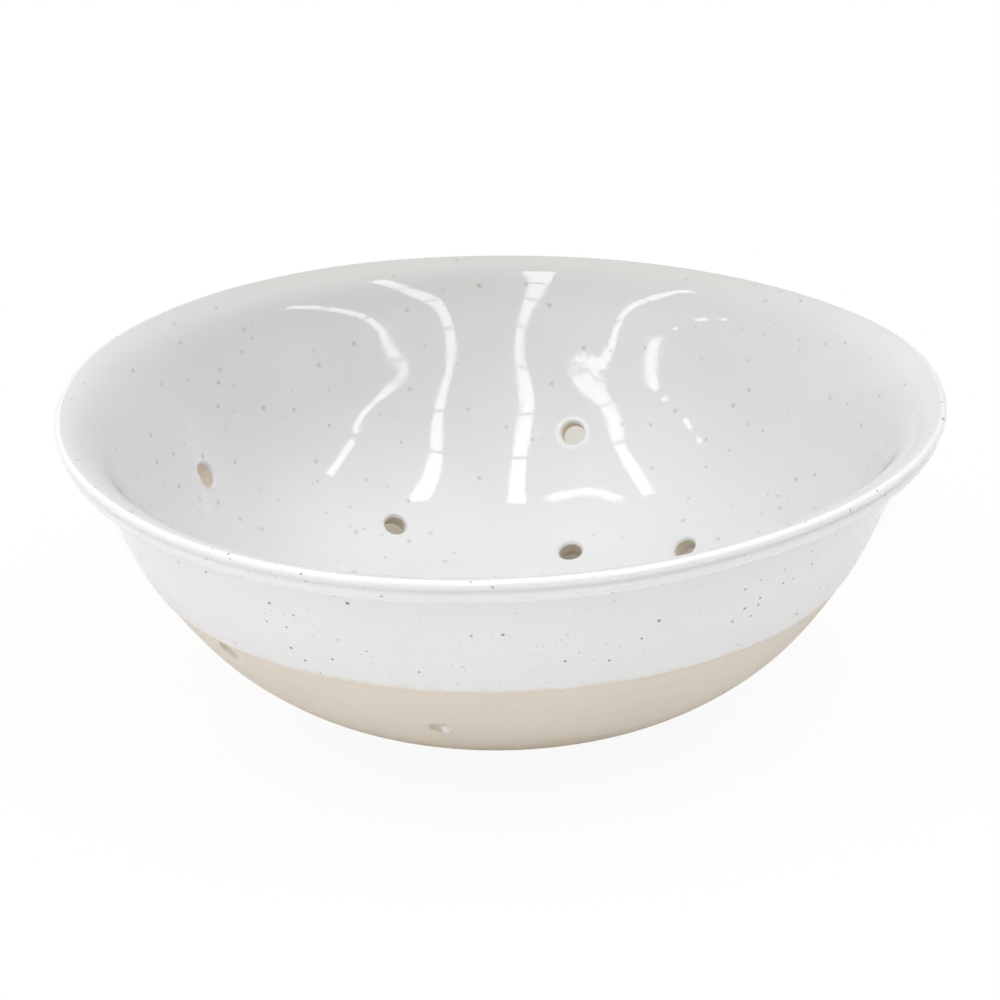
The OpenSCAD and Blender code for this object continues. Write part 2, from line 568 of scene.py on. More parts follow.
@dataclass(frozen=True)
class Dab:
    """One place where a thumb or a tool pressed the wall in or out.

    Attributes:
        depth: How far the wall stands out there, negative where it stands in.
        azimuth: Angle about the bowl's axis, in degrees.
        height: Height above the table.
        reach_round: How far it fades out along the wall.
        reach_up: How far it fades out up the wall.
    """

    depth: float
    azimuth: float
    height: float
    reach_round: float
    reach_up: float

    def swell(self, azimuth: float, height: float, radius: float) -> float:
        """Finds how far the wall stands out because of this dab.

        Args:
            azimuth: Angle about the bowl's axis, in radians.
            height: Height above the table.
            radius: Radius at which the width of the dab is measured.

        Returns:
            How far the wall stands out at that place.
        """
        turn = (azimuth - math.radians(self.azimuth) + math.pi) % math.tau - math.pi
        across, up = turn * radius / self.reach_round, (height - self.height) / self.reach_up
        return self.depth * math.exp(-(across * across + up * up) / 2)


@dataclass(frozen=True)
class KilnWarp:
    """How the bowl is out of round: a saddle in the rim from the firing, ripples and dabs in the wall.

    Attributes:
        saddle_sine: Part of the rim's rise that follows the sine of twice the azimuth.
        saddle_cosine: Part of the rim's rise that follows the cosine of twice the azimuth.
        saddle_heights: Where the saddle starts and where it is whole.
        ripples: Ripples of the wall.
        ripple_heights: Where the ripples start and where they are whole.
        dabs: Dabs in the wall.
        girth: Radius at which the width of a dab is measured.
    """

    saddle_sine: float = -1.2 * MM
    saddle_cosine: float = 0.775 * MM
    saddle_heights: tuple[float, float] = (20 * MM, 88 * MM)
    ripples: tuple[Ripple, ...] = (
        Ripple(0.053 * MM, 8, 166, 8.241),
        Ripple(0.12 * MM, 4, 80, 8.24),
        Ripple(0.12 * MM, 8, -52, 16.212),
        Ripple(0.12 * MM, 7, -64, 4.937),
        Ripple(0.078 * MM, 12, -138, 4.217),
    )
    ripple_heights: tuple[float, float] = (13 * MM, 26 * MM)
    dabs: tuple[Dab, ...] = (
        Dab(-0.30 * MM, 73.6, 62.9 * MM, 6.2 * MM, 10.5 * MM),
        Dab(-0.30 * MM, 108.7, 61.3 * MM, 5.6 * MM, 6.3 * MM),
        Dab(-0.17 * MM, 86.5, 51.1 * MM, 4.7 * MM, 7.4 * MM),
        Dab(0.22 * MM, 118.5, 51.6 * MM, 4.9 * MM, 3.6 * MM),
        Dab(0.28 * MM, 61.7, 50.2 * MM, 6.1 * MM, 4.7 * MM),
        Dab(-0.21 * MM, 102.0, 75.7 * MM, 5.6 * MM, 16.0 * MM),
        Dab(0.30 * MM, 61.1, 82.7 * MM, 5.6 * MM, 3.6 * MM),
        Dab(-0.15 * MM, 62.5, 66.7 * MM, 3.5 * MM, 15.3 * MM),
        Dab(-0.16 * MM, 97.7, 67.9 * MM, 4.6 * MM, 6.0 * MM),
    )
    girth: float = 100 * MM

    def apply(self, bm: bmesh.types.BMesh) -> None:
        """Moves every vertex of a piece to where the making and the firing left it.

        Args:
            bm: Mesh of the piece.
        """
        for vert in bm.verts:
            azimuth, height = math.atan2(vert.co.y, vert.co.x), vert.co.z
            swell = sum(ripple.swell(azimuth, height) for ripple in self.ripples)
            swell *= eased(height, *self.ripple_heights)
            swell += sum(dab.swell(azimuth, height, self.girth) for dab in self.dabs)
            rise = self.saddle_sine * math.sin(2 * azimuth) + self.saddle_cosine * math.cos(2 * azimuth)
            rise *= eased(height, *self.saddle_heights)
            vert.co += Vector((swell * math.cos(azimuth), swell * math.sin(azimuth), rise))


def eased(value: float, start: float, full: float) -> float:
    """Returns a share that eases from 0 at the start to 1 at the full value."""
    share = min(1.0, max(0.0, (value - start) / (full - start)))
    return share * share * (3 - 2 * share)


def spun(points: Sequence[Vector], steps: int, closed: bool) -> bmesh.types.BMesh:
    """Turns a section about the bowl's axis.

    Args:
        points: Radius and height of each point of the section.
        steps: Number of steps in the full turn.
        closed: Whether the last point joins the first.

    Returns:
        Mesh with its seam and its poles merged and its normals set.
    """
    bm = bmesh.new()
    verts = [bm.verts.new((point.x, 0, point.y)) for point in points]
    pairs = list(zip(verts, verts[1:])) + ([(verts[-1], verts[0])] if closed else [])
    edges = [bm.edges.new(pair) for pair in pairs]
    bmesh.ops.spin(
        bm, geom=verts + edges, cent=(0, 0, 0), axis=(0, 0, 1), dvec=(0, 0, 0), angle=math.tau, steps=steps,
        use_merge=True, use_normal_flip=False, use_duplicate=False,
    )
    bmesh.ops.remove_doubles(bm, verts=bm.verts[:], dist=MERGE_WITHIN)
    bmesh.ops.recalc_face_normals(bm, faces=bm.faces[:])
    return bm


def mark_edges(bm: bmesh.types.BMesh, sharp_over: float) -> None:
    """Shades faces smoothly, with a sharp line where two of them meet at a large angle.

    Args:
        bm: The mesh.
        sharp_over: Angle from which the line is sharp, in degrees.
    """
    for face in bm.faces:
        face.smooth = True
    for edge in bm.edges:
        edge.smooth = len(edge.link_faces) != 2 or edge.calc_face_angle() < math.radians(sharp_over)


def piece_from(bm: bmesh.types.BMesh, name: str) -> bpy.types.Object:
    """Makes an object of a finished mesh and frees the mesh.

    Args:
        bm: The mesh, in the frame of the bowl.
        name: Name of the piece.

    Returns:
        The new object, at the origin.
    """
    mesh = bpy.data.meshes.new(name)
    bm.to_mesh(mesh)
    bm.free()
    piece = bpy.data.objects.new(name, mesh)
    bpy.context.scene.collection.objects.link(piece)
    return piece


def cut_by(piece: bpy.types.Object, cutter: bpy.types.Object) -> bmesh.types.BMesh:
    """Cuts one object out of another and removes the second.

    Args:
        piece: Object that is cut, whose modifiers are used up.
        cutter: Object that does the cutting.

    Returns:
        The cut mesh, without slivers.
    """
    cut = piece.modifiers.new("drain_holes", "BOOLEAN")
    cut.operation = "DIFFERENCE"
    cut.solver = "EXACT"
    cut.object = cutter
    seen = piece.evaluated_get(bpy.context.evaluated_depsgraph_get())
    bm = bmesh.new()
    bm.from_mesh(seen.to_mesh())
    seen.to_mesh_clear()
    # Faces with more corners are split into triangles
    bmesh.ops.triangulate(bm, faces=[face for face in bm.faces if len(face.verts) > QUAD_CORNERS])
    bmesh.ops.dissolve_degenerate(bm, dist=MERGE_WITHIN, edges=bm.edges[:])
    for used in (piece, cutter):
        mesh = used.data
        bpy.data.objects.remove(used)
        bpy.data.meshes.remove(mesh)
    return bm


@dataclass(frozen=True)
class Punch:
    """The tool that opens the drain holes in the clay, with a rounded mouth on both faces.

    Attributes:
        section: The bowl's section.
        pattern: Its drain holes.
        overrun: How far the tool reaches past the clay.
        steps: Number of steps round the tool.
        edge_steps: Number of steps in the rounding of the outside mouth.
        ledge_steps: Number of steps in the rounding of the inside mouth.
    """

    section: BowlSection
    pattern: HolePattern
    overrun: float = 3 * MM
    steps: int = 40
    edge_steps: int = 4
    ledge_steps: int = 5

    def outline(self, hole: DrainHole) -> list[tuple[float, float]]:
        """Finds the outline of the punch.

        Args:
            hole: The hole that it opens.

        Returns:
            Radius and depth of each point, from the outside of the clay inwards.
        """
        bore, edge, glaze = self.pattern.radius, self.pattern.edge_round, self.section.glaze
        width, depth = self.pattern.roll_width, self.pattern.roll_depth
        wall = self.section.wall
        outer = hole.outlet + edge
        points = [(0.0, -self.overrun), (outer, -self.overrun)]
        for i in range(self.edge_steps + 1):
            turn = math.radians(90 - 90 * i / self.edge_steps)
            points.append((outer - edge * math.cos(turn), edge - edge * math.sin(turn)))
        ledge, reach = wall + glaze - depth, hole.mouth + width
        points.append((bore, ledge))
        for i in range(self.ledge_steps + 1):
            turn = math.radians(90 * i / self.ledge_steps)
            radius = reach - (width - glaze) * math.cos(turn)
            points.append((radius, ledge + (depth - glaze) * math.sin(turn)))
        return points + [(reach, wall + self.overrun), (0.0, wall + self.overrun)]

    def build(self, holes: Sequence[DrainHole]) -> bpy.types.Object:
        """Makes the punches.

        Args:
            holes: The holes that they open.

        Returns:
            One object that holds a punch for each hole.
        """
        bm = bmesh.new()
        for hole in holes:
            place = hole.frame_at(self.section, 0.0)
            points = [Vector((radius, 0, depth)) for radius, depth in self.outline(hole)]
            verts = [bm.verts.new(place @ point) for point in points]
            edges = [bm.edges.new(pair) for pair in zip(verts, verts[1:])]
            bmesh.ops.spin(
                bm, geom=verts + edges, cent=place.translation, axis=place.col[2].to_3d(), dvec=(0, 0, 0),
                angle=math.tau, steps=self.steps, use_merge=True, use_normal_flip=False, use_duplicate=False,
            )
        bmesh.ops.remove_doubles(bm, verts=bm.verts[:], dist=MERGE_WITHIN)
        bmesh.ops.recalc_face_normals(bm, faces=bm.faces[:])
        return piece_from(bm, "punch")


class Recipe:
    """The node tree of a material or a world, with short ways to add to it."""

    def __init__(self, owner: bpy.types.Material | bpy.types.World) -> None:
        """Empties the owner's node tree.

        Args:
            owner: The material or the world.
        """
        owner.use_nodes = True
        self.tree = owner.node_tree
        self.tree.nodes.clear()

    def add(self, kind: str, inputs: dict | None = None, **settings: object) -> Node:
        """Adds a node.

        Args:
            kind: Blender's name of the node, without its prefix.
            inputs: Value or source socket of each input, by name or number.
            settings: Properties of the node.

        Returns:
            The new node.
        """
        node = self.tree.nodes.new("ShaderNode" + kind)
        for key, value in settings.items():
            setattr(node, key, value)
        for key, value in (inputs or {}).items():
            if isinstance(value, Socket):
                self.tree.links.new(value, node.inputs[key])
            else:
                node.inputs[key].default_value = value
        return node

    def math(self, operation: str, first: Socket | float, second: Socket | float = 0.0) -> Socket:
        """Returns the result of a sum on two values."""
        return self.add("Math", {0: first, 1: second}, operation=operation).outputs[0]

    def object_coordinates(self) -> Socket:
        """Returns the place on the piece, in metres."""
        return self.add("TexCoord").outputs["Object"]

    def noise(self, place: Socket, size: float, detail: float = 2.0, roughness: float = 0.5) -> Node:
        """Adds a noise whose features are about size metres across."""
        inputs = {"Vector": place, "Scale": 1 / size, "Detail": detail, "Roughness": roughness}
        return self.add("TexNoise", inputs)

    def ranged(self, value: Socket, source: tuple, target: tuple, smooth: bool = True) -> Socket:
        """Maps a value from one range to another, held at its ends.

        Args:
            value: Value to map.
            source: Low and high end of the range it comes from, as values or sockets.
            target: What those ends become.
            smooth: Whether the change eases in and out.

        Returns:
            The mapped value.
        """
        inputs = {"Value": value, "From Min": source[0], "From Max": source[1]}
        inputs |= {"To Min": target[0], "To Max": target[1]}
        kind = "SMOOTHSTEP" if smooth else "LINEAR"
        return self.add("MapRange", inputs, interpolation_type=kind).outputs["Result"]

    def mixed(self, share: Socket | float, first: Socket | Colour, second: Socket | Colour) -> Socket:
        """Mixes two colours.

        Args:
            share: Share of the second colour.
            first: First colour.
            second: Second colour.

        Returns:
            The mixed colour.
        """
        node = self.add("Mix", {"Factor": share}, data_type="RGBA")
        for key, colour in zip(MIX_INPUTS, (first, second)):
            if isinstance(colour, Socket):
                self.tree.links.new(colour, node.inputs[key])
            else:
                node.inputs[key].default_value = (*colour, 1)
        return node.outputs[MIX_OUTPUT]

    def finish(self, shader: Node, output: str = "OutputMaterial") -> None:
        """Joins a shader to the output."""
        self.add(output, {"Surface": shader.outputs[0]})


@dataclass(frozen=True)
class Specks:
    """One kind of iron speck in a glaze.

    Attributes:
        spacing: Distance between the places where a speck may lie.
        radius: Largest radius of a speck.
        least: Smallest radius, as a share of the largest.
        core: Share of the radius that has the full colour.
        share: Share of the places that hold a speck.
        colour: Colour of the specks.
        strength: How much of the glaze they cover.
    """

    spacing: float
    radius: float
    least: float
    core: float
    share: float
    colour: Colour
    strength: float

    def mask(self, recipe: Recipe, place: Socket, crowding: Socket) -> Socket:
        """Adds the nodes that draw the specks.

        Args:
            recipe: Material that the nodes go into.
            place: Place on the piece.
            crowding: Factor on the share of places that hold a speck.

        Returns:
            How much of the glaze the specks cover.
        """
        cells = recipe.add("TexVoronoi", {"Vector": place, "Scale": 1 / self.spacing, "Randomness": 1.0})
        chance = recipe.add("SeparateColor", {"Color": cells.outputs["Color"]})
        low, high = self.radius * self.least / self.spacing, self.radius / self.spacing
        edge = recipe.ranged(chance.outputs[0], NONE_TO_ALL, (low, high), smooth=False)
        inner = recipe.math("MULTIPLY", edge, self.core)
        disc = recipe.ranged(cells.outputs["Distance"], (inner, edge), (self.strength, 0.0))
        held = recipe.math("LESS_THAN", chance.outputs[1], recipe.math("MULTIPLY", crowding, self.share))
        return recipe.math("MULTIPLY", disc, held)


@dataclass(frozen=True)
class GlazeFinish:
    """A white glaze with specks.

    Attributes:
        name: Name of the material.
        colour: Colour of the glaze.
        shade: Colour where it lies thin.
        roughness: Lowest and highest roughness.
        specks: Kinds of speck, drawn one over the other.
        wobble: How far the specks' outlines wander.
        ripple: Height of the slow ripples in the surface.
        ripple_size: Width of those ripples.
        cloud_size: Width of the clouds in which the colour and the number of specks change.
        crowding: Factor on the number of specks, from the emptiest cloud to the fullest.
        grain_size: Width of the grain that nudges the specks' outlines.
        refraction: Index of refraction.
        thin: Colour where the clay shines through; on the back of the lip it also paints shade.
        thick_and_highlight: Lighter colour of the roll round one drain hole: thicker glaze and painted
            highlight.
        edge_height: Height of the coat's lower edge, or 0 if it has none.
        edge_reach: How far above that edge it is thin, at least and at most.
        edge_patch: Width of the patches in which that changes.
        edge_share: How much of the clay shines through at the edge.
        lip_shade_heights: Where the coat starts to darken below the crest, and where it is darkest.
        lip_shade_back: The same towards the back of the bowl: glaze that ran thin as it dried, and painted
            shade.
        lip_shade_share: How much of the darker colour is mixed in there.
    """

    name: str
    colour: Colour
    shade: Colour
    roughness: tuple[float, float]
    specks: tuple[Specks, ...]
    wobble: float
    ripple: float
    ripple_size: float = 5 * MM
    cloud_size: float = 30 * MM
    crowding: tuple[float, float] = (0.3, 1.7)
    grain_size: float = 0.7 * MM
    refraction: float = 1.5
    thin: Colour = (0.78, 0.70, 0.60)
    thick_and_highlight: Colour = (0.79, 0.79, 0.78)
    edge_height: float = 0.0
    edge_reach: tuple[float, float] = (0.5 * MM, 3 * MM)
    edge_patch: float = 6 * MM
    edge_share: float = 0.75
    lip_shade_heights: tuple[float, float] = (72 * MM, 89 * MM)
    lip_shade_back: tuple[float, float] = (10 * MM, 110 * MM)
    lip_shade_share: float = 0.55

    def material(self) -> bpy.types.Material:
        """Makes the material.

        Returns:
            The new material.
        """
        material = bpy.data.materials.new(self.name)
        recipe = Recipe(material)
        place = recipe.object_coordinates()
        cloud = recipe.noise(place, self.cloud_size, detail=3).outputs["Fac"]
        crowding = recipe.ranged(cloud, NOISE_SPAN, self.crowding)
        grain = recipe.noise(place, self.grain_size, detail=1).outputs["Color"]
        spread = recipe.add("VectorMath", {0: grain, 1: NOISE_MIDDLE}, operation="SUBTRACT")
        nudge = recipe.add("VectorMath", {0: spread.outputs[0], "Scale": self.wobble}, operation="SCALE")
        wandering = recipe.add("VectorMath", {0: place, 1: nudge.outputs[0]}, operation="ADD").outputs[0]
        colour = recipe.mixed(recipe.ranged(cloud, NOISE_SPAN, NONE_TO_ALL), self.shade, self.colour)
        colour = recipe.mixed(self.thinness_and_shade(recipe, place, wandering), colour, self.thin)
        # Partly thicker glaze, partly painted highlight: one hole's roll is lighter
        roll_highlight_share = recipe.add("Attribute", attribute_name=ROLL_HIGHLIGHT_MARK).outputs["Fac"]
        colour = recipe.mixed(roll_highlight_share, colour, self.thick_and_highlight)
        for kind in self.specks:
            colour = recipe.mixed(kind.mask(recipe, wandering, crowding), colour, kind.colour)
        peel = recipe.noise(place, self.ripple_size).outputs["Fac"]
        roughness = recipe.ranged(peel, NOISE_SPAN, self.roughness)
        bump = recipe.add("Bump", {"Height": peel, "Distance": self.ripple, "Strength": 1.0})
        inputs = {"Base Color": colour, "Roughness": roughness, "Normal": bump.outputs[0]}
        recipe.finish(recipe.add("BsdfPrincipled", inputs | {"IOR": self.refraction}))
        return material

    def thinness_and_shade(self, recipe: Recipe, place: Socket, wandering: Socket) -> Socket:
        """Finds where the coat is so thin that the clay shines through, and where shade is painted on the
        lip.

        Args:
            recipe: Material that the nodes go into.
            place: Place on the piece.
            wandering: The same place, nudged about by a fine grain.

        Returns:
            How much of the clay is seen along the coat's lower edge, and how much shade is painted on the
            back of the lip.
        """
        height = recipe.add("SeparateXYZ", {0: wandering}).outputs[2]
        patches = recipe.noise(place, self.edge_patch).outputs["Fac"]
        tops = tuple(self.edge_height + reach for reach in self.edge_reach)
        reach = recipe.ranged(patches, NOISE_SPAN, tops)
        low = recipe.ranged(height, (self.edge_height, reach), (self.edge_share, 0.0))
        # Partly thin glaze, partly painted shade: the back of the lip is darkened
        lip = recipe.ranged(height, self.lip_shade_heights, (0.0, self.lip_shade_share))
        back = recipe.ranged(recipe.add("SeparateXYZ", {0: place}).outputs[1], self.lip_shade_back, NONE_TO_ALL)
        return recipe.math("MAXIMUM", low, recipe.math("MULTIPLY", lip, back))


@dataclass(frozen=True)
class StonewareFinish:
    """Bare fired clay with a fine grain, warmer under the glaze line, with painted shade and browner clay by
    the foot.

    Attributes:
        colour: Colour of the clay.
        dark: Colour of the grain.
        blush: Colour just under the glaze line.
        foot: Darker, browner colour down by the foot: partly browner clay, partly painted shade near the
            table.
        bore: Darker colour inside the drain holes: painted shade in the bores.
        line: Height of the glaze line.
        blush_depth: How far down the warmer colour reaches.
        foot_shade_heights: Where the darker, browner colour of the foot is whole, and where it has faded.
        sand_size: Width of the grains of sand.
        sand_span: Values of the sand's noise between which the dark grains show.
        sand_share: How dark the grains are.
        cloud_size: Width of the worn clouds.
        streak_size: Length of the streaks that the turning left.
        streak_squash: How many times longer than high they are.
        worn_span: Values of clouds and streaks together between which the clay is worn.
        worn_share: How dark it is there.
        roughness: Lowest and highest roughness.
        grain_height: Height of the grain in the surface.
        streak_height: Height of the streaks, as a share of that.
    """

    colour: Colour = (0.788, 0.726, 0.63)
    dark: Colour = (0.62, 0.54, 0.44)
    blush: Colour = (0.80, 0.73, 0.635)
    foot: Colour = (0.645, 0.515, 0.385)
    bore: Colour = (0.75, 0.672, 0.575)
    line: float = 47.7 * MM
    blush_depth: float = 8 * MM
    foot_shade_heights: tuple[float, float] = (8 * MM, 27 * MM)
    sand_size: float = 0.6 * MM
    sand_span: tuple[float, float] = (0.5, 0.72)
    sand_share: float = 0.36
    cloud_size: float = 22 * MM
    streak_size: float = 20 * MM
    streak_squash: float = 12.0
    worn_span: tuple[float, float] = (0.8, 1.25)
    worn_share: float = 0.12
    roughness: tuple[float, float] = (0.62, 0.82)
    grain_height: float = 0.05 * MM
    streak_height: float = 0.6

    def material(self) -> bpy.types.Material:
        """Makes the material.

        Returns:
            The new material.
        """
        material = bpy.data.materials.new("bare_stoneware")
        recipe = Recipe(material)
        place = recipe.object_coordinates()
        height = recipe.add("SeparateXYZ", {0: place}).outputs[2]
        near = recipe.ranged(height, (self.line - self.blush_depth, self.line), NONE_TO_ALL)
        # Partly browner clay, partly painted shade: the clay darkens towards the table
        low = recipe.ranged(height, self.foot_shade_heights, (1.0, 0.0))
        sand = recipe.noise(place, self.sand_size, roughness=0.7).outputs["Fac"]
        cloud = recipe.noise(place, self.cloud_size, detail=3).outputs["Fac"]
        squash = 1, 1, self.streak_squash
        ringed = recipe.add("VectorMath", {0: place, 1: squash}, operation="MULTIPLY").outputs[0]
        streaks = recipe.noise(ringed, self.streak_size).outputs["Fac"]
        colour = recipe.mixed(near, self.colour, self.blush)
        colour = recipe.mixed(low, colour, self.foot)
        worn = recipe.ranged(recipe.math("ADD", cloud, streaks), self.worn_span, (0.0, self.worn_share))
        colour = recipe.mixed(worn, colour, self.dark)
        speckle = recipe.ranged(sand, self.sand_span, (0.0, self.sand_share))
        colour = recipe.mixed(speckle, colour, self.dark)
        # Painted shade: the clay inside the drain holes is darker
        inside = recipe.add("Attribute", attribute_name=BORE_SHADE_MARK).outputs["Fac"]
        colour = recipe.mixed(inside, colour, self.bore)
        roughness = recipe.ranged(sand, NOISE_SPAN, self.roughness)
        grain = recipe.math("ADD", sand, recipe.math("MULTIPLY", streaks, self.streak_height))
        bump = recipe.add("Bump", {"Height": grain, "Distance": self.grain_height, "Strength": 1.0})
        inputs = {"Base Color": colour, "Roughness": roughness, "Normal": bump.outputs[0]}
        recipe.finish(recipe.add("BsdfPrincipled", inputs))
        return material


INSIDE_FINISH = GlazeFinish(
    name="inside_glaze",
    colour=(0.73, 0.73, 0.735),
    shade=(0.715, 0.715, 0.715),
    roughness=(0.04, 0.07),
    specks=(
        Specks(5.6 * MM, 1.4 * MM, 0.45, 0.0, 0.7, (0.30, 0.285, 0.19), 0.5),
        Specks(3.4 * MM, 0.55 * MM, 0.4, 0.2, 0.2, (0.33, 0.30, 0.22), 0.45),
        Specks(1.8 * MM, 0.28 * MM, 0.4, 0.3, 0.3, (0.52, 0.48, 0.38), 0.24),
    ),
    wobble=0.35 * MM,
    ripple=0.02 * MM,
    # Dark grey: on the back of the lip it is painted shade, partly thin glaze
    thin=(0.54, 0.53, 0.50),
)
OUTSIDE_FINISH = GlazeFinish(
    name="outside_glaze",
    colour=(0.858, 0.858, 0.863),
    shade=(0.843, 0.843, 0.843),
    roughness=(0.10, 0.16),
    specks=(
        Specks(3.9 * MM, 0.7 * MM, 0.5, 0.4, 0.55, (0.13, 0.10, 0.07), 0.82),
        Specks(3.2 * MM, 0.42 * MM, 0.5, 0.4, 0.45, (0.28, 0.21, 0.15), 0.7),
        Specks(1.6 * MM, 0.3 * MM, 0.4, 0.4, 0.85, (0.44, 0.38, 0.30), 0.65),
    ),
    wobble=0.3 * MM,
    ripple=0.02 * MM,
)


@dataclass
class BowlPiece:
    """What every piece of the bowl shares.

    Attributes:
        section: The bowl's section.
        pattern: Its drain holes.
        warp: How it was bent in the kiln.
        steps: Number of steps round the bowl.
        row: Distance between rows on a face that is seen.
        hidden_row: Distance between rows on a face that another piece covers.
        sharp_over: Angle from which the line between two faces is sharp, in degrees.
    """

    section: BowlSection
    pattern: HolePattern
    warp: KilnWarp
    steps: int = 320
    row: float = 1.7 * MM
    hidden_row: float = 3.5 * MM
    sharp_over: float = 40.0

    def dress(
        self, bm: bmesh.types.BMesh, name: str, slot: str, finish: bpy.types.Material,
        node: str | None = None,
    ) -> None:
        """Warps a mesh, makes it a piece and gives it its finish.

        Args:
            bm: The mesh before the firing.
            name: Name of the piece.
            slot: Material slot of the record; not used.
            finish: Material of its surface.
            node: CAD node that it stands for, if there is one.
        """
        self.warp.apply(bm)
        mark_edges(bm, self.sharp_over)
        piece = piece_from(bm, name)
        piece.data.materials.append(finish)
        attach(piece, BODY)
        if node:
            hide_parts(node)
        LOG.info("%s: %d faces", name, len(piece.data.polygons))


@dataclass
class StonewareShell(BowlPiece):
    """The fired clay: wall, floor, rim and foot ring, with the drain holes punched through it.

    Attributes:
        bore_slack: How far outside its radius a bore is still marked.
        bore_start: Depth at which the mark starts, as a share of the rounding of the outside mouth.
    """

    bore_slack: float = 0.1 * MM
    bore_start: float = 0.9

    def build(self) -> None:
        """Makes the shell."""
        section = self.section
        hidden = section.inside_line(self.hidden_row)
        hidden += section.rim_line()[2::2] + section.glazed_wall_line()[1::2]
        line = hidden + section.bare_wall_line()[1:] + section.foot_line()[1:]
        solid = piece_from(spun([place.at for place in line], self.steps, closed=False), "clay_blank")
        bm = cut_by(solid, Punch(section, self.pattern).build(self.pattern.holes()))
        self.mark_bore_shade(bm)
        finish = StonewareFinish(line=section.glaze_line).material()
        self.dress(bm, "stoneware_shell", "bare_stoneware", finish, node="clay_body")

    def mark_bore_shade(self, bm: bmesh.types.BMesh) -> None:
        """Marks the clay inside the drain holes, where the finish paints shade.

        Args:
            bm: Mesh of the shell before the firing.
        """
        mark = bm.verts.layers.float.new(BORE_SHADE_MARK)
        reach = self.pattern.radius + self.bore_slack
        low = self.bore_start * self.pattern.edge_round
        for hole in self.pattern.holes():
            inverse = hole.frame_at(self.section, 0.0).inverted()
            for vert in bm.verts:
                spot = inverse @ vert.co
                if math.hypot(spot.x, spot.y) < reach and low < spot.z < self.section.wall:
                    vert[mark] = 1.0


@dataclass
class InsideGlaze(BowlPiece):
    """The coat over the floor, the wall and the lip, which rolls over into every drain hole.

    Attributes:
        clearing: Half the side of the square that is opened round a hole before its mouth is shaped.
        collar: Radius of the first round ring inside that square.
    """

    clearing: float = 7 * MM
    collar: float = 6.2 * MM

    def build(self) -> None:
        """Makes the coat."""
        section = self.section
        line = [place.lifted(section.glaze) for place in section.inside_line(self.row)]
        bm = spun(line, self.steps, closed=False)
        if min(bm.faces, key=lambda face: face.calc_center_median().z).normal.z < 0:
            bmesh.ops.reverse_faces(bm, faces=bm.faces[:])
        surface = BVHTree.FromBMesh(bm)
        bm.verts.layers.float.new(ROLL_HIGHLIGHT_MARK)
        bm.faces.ensure_lookup_table()
        mouths = [(hole, self.faces_over(bm, surface, hole)) for hole in self.pattern.holes()]
        for hole, covered in mouths:
            self.open_mouth(bm, surface, hole, covered)
        self.thicken(bm)
        self.dress(bm, "inside_glaze_coat", "inside_glaze", INSIDE_FINISH.material(), node="inside_glaze")

    def mouth_frame(self, hole: DrainHole) -> Matrix:
        """Returns the frame of a hole on the face of the coat."""
        return hole.frame_at(self.section, self.section.wall + self.section.glaze)

    def faces_over(
        self, bm: bmesh.types.BMesh, surface: BVHTree, hole: DrainHole
    ) -> list[bmesh.types.BMFace]:
        """Finds the square of faces that covers a hole.

        Args:
            bm: Mesh of the coat's face.
            surface: The same face, for finding what is near.
            hole: The hole.

        Returns:
            The faces, in whole rows and columns.
        """
        mouth = self.mouth_frame(hole)
        inverse = mouth.inverted()
        centre = mouth.translation
        half_turn = self.clearing / math.hypot(centre.x, centre.y)
        covered = []
        for index in {index for _, _, index, _ in surface.find_nearest_range(centre, 2 * self.clearing)}:
            spot = bm.faces[index].calc_center_median()
            turn = math.atan2(spot.y, spot.x) - math.radians(hole.azimuth)
            turn = (turn + math.pi) % math.tau - math.pi
            level = inverse @ (Matrix.Rotation(-turn, 4, "Z") @ spot)
            if abs(turn) < half_turn and abs(level.y) < self.clearing:
                covered.append(bm.faces[index])
        return covered

    def thicken(self, bm: bmesh.types.BMesh) -> None:
        """Gives the coat its thickness, on the side of the clay.

        Args:
            bm: Mesh of the coat's face.
        """
        grown = bmesh.ops.extrude_face_region(bm, geom=bm.faces[:], use_keep_orig=True)["geom"]
        bm.normal_update()
        for vert in (part for part in grown if isinstance(part, bmesh.types.BMVert)):
            vert.co -= self.section.glaze * vert.normal
        bmesh.ops.recalc_face_normals(bm, faces=bm.faces[:])

    def open_mouth(
        self, bm: bmesh.types.BMesh, surface: BVHTree, hole: DrainHole, covered: list[bmesh.types.BMFace]
    ) -> None:
        """Opens the coat over a hole and rolls its edge down into it.

        Args:
            bm: Mesh of the coat's face.
            surface: The same face before any hole was opened.
            hole: The hole.
            covered: Faces that are taken away.
        """
        mouth = self.mouth_frame(hole)
        inverse = mouth.inverted()
        inward = mouth.col[2].to_3d()
        mark = bm.verts.layers.float[ROLL_HIGHLIGHT_MARK]
        highlit_roll = hole == self.pattern.holes()[self.pattern.highlit_roll]
        gone = set(covered)
        edges = {edge for face in covered for edge in face.edges}
        rim = [edge for edge in edges if not gone.issuperset(edge.link_faces)]
        bmesh.ops.delete(bm, geom=covered, context="FACES")
        for radius, depth in self.pattern.roll(hole.mouth, self.collar):
            grown = bmesh.ops.extrude_edge_only(bm, edges=rim)["geom"]
            rim = [part for part in grown if isinstance(part, bmesh.types.BMEdge)]
            verts = [part for part in grown if isinstance(part, bmesh.types.BMVert)]
            angles = {vert: math.atan2((inverse @ vert.co).y, (inverse @ vert.co).x) for vert in verts}
            verts.sort(key=angles.get)
            step = math.tau / len(verts)
            first = sum(angles[vert] - i * step for i, vert in enumerate(verts)) / len(verts)
            for i, vert in enumerate(verts):
                angle = angles[vert] if hole.seat is Seat.FLOOR else first + i * step
                spoke = Vector((math.cos(angle), math.sin(angle), 0))
                above = mouth @ (radius * spoke) + self.clearing * inward
                vert.co = surface.ray_cast(above, -inward)[0] - depth * inward
                # Marks the roll of that one hole for its painted highlight
                vert[mark] = float(highlit_roll and radius < self.collar)


